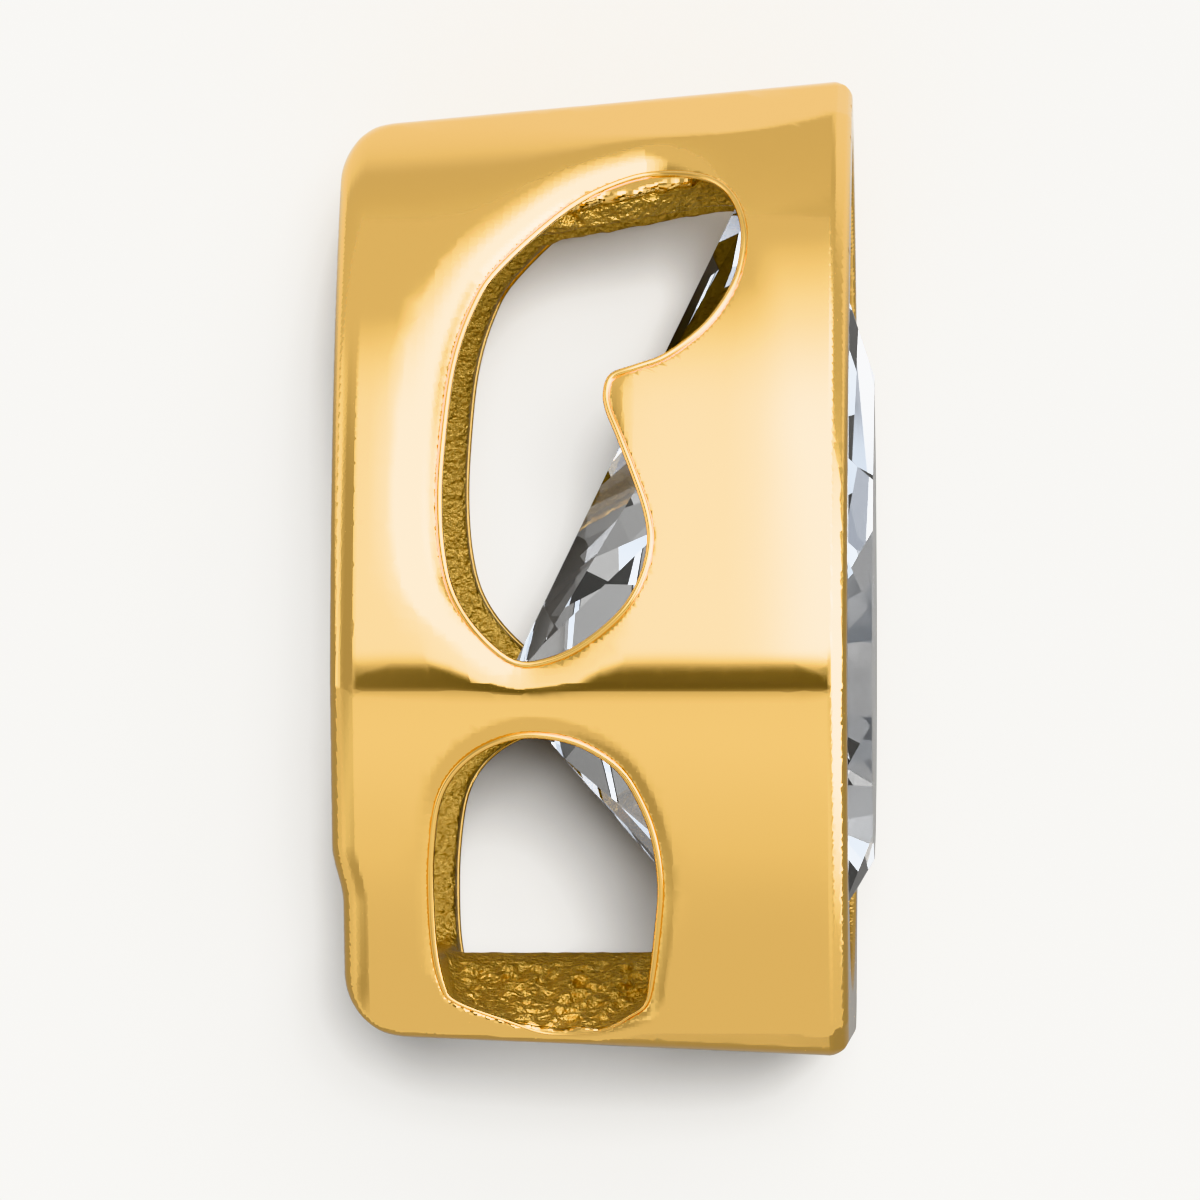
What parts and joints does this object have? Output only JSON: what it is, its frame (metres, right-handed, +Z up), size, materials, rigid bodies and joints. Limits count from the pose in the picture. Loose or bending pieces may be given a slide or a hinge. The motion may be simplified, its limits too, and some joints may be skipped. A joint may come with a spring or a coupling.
{
  "type": "slide pendant",
  "caption": "Slide pendant: a cast gold body with an open back and see-through side walls, around a pear-cut clear stone. A chain passes through the upper side openings.",
  "frame": {"origin": "centre of the pendant's box, on the surface that it lies on", "axes": "+X towards the pendant's front, where the stone's table faces; +Y up the pendant, towards the stone's tip; +Z up from the surface. The pendant lies on one side wall, on the strip of its round panel that its weight is over, so its middle plane leans 9 degrees, with the tip end lower."},
  "size_m": [0.0042, 0.0078, 0.0058],
  "materials": {
    "polished_gold": "polished yellow gold, rough as cast inside",
    "clear_stone": "faceted and polished, colourless"
  },
  "bodies": {
    "root": {"slide_body": "polished_gold", "pear_stone": "clear_stone"}
  },
  "joints": []
}
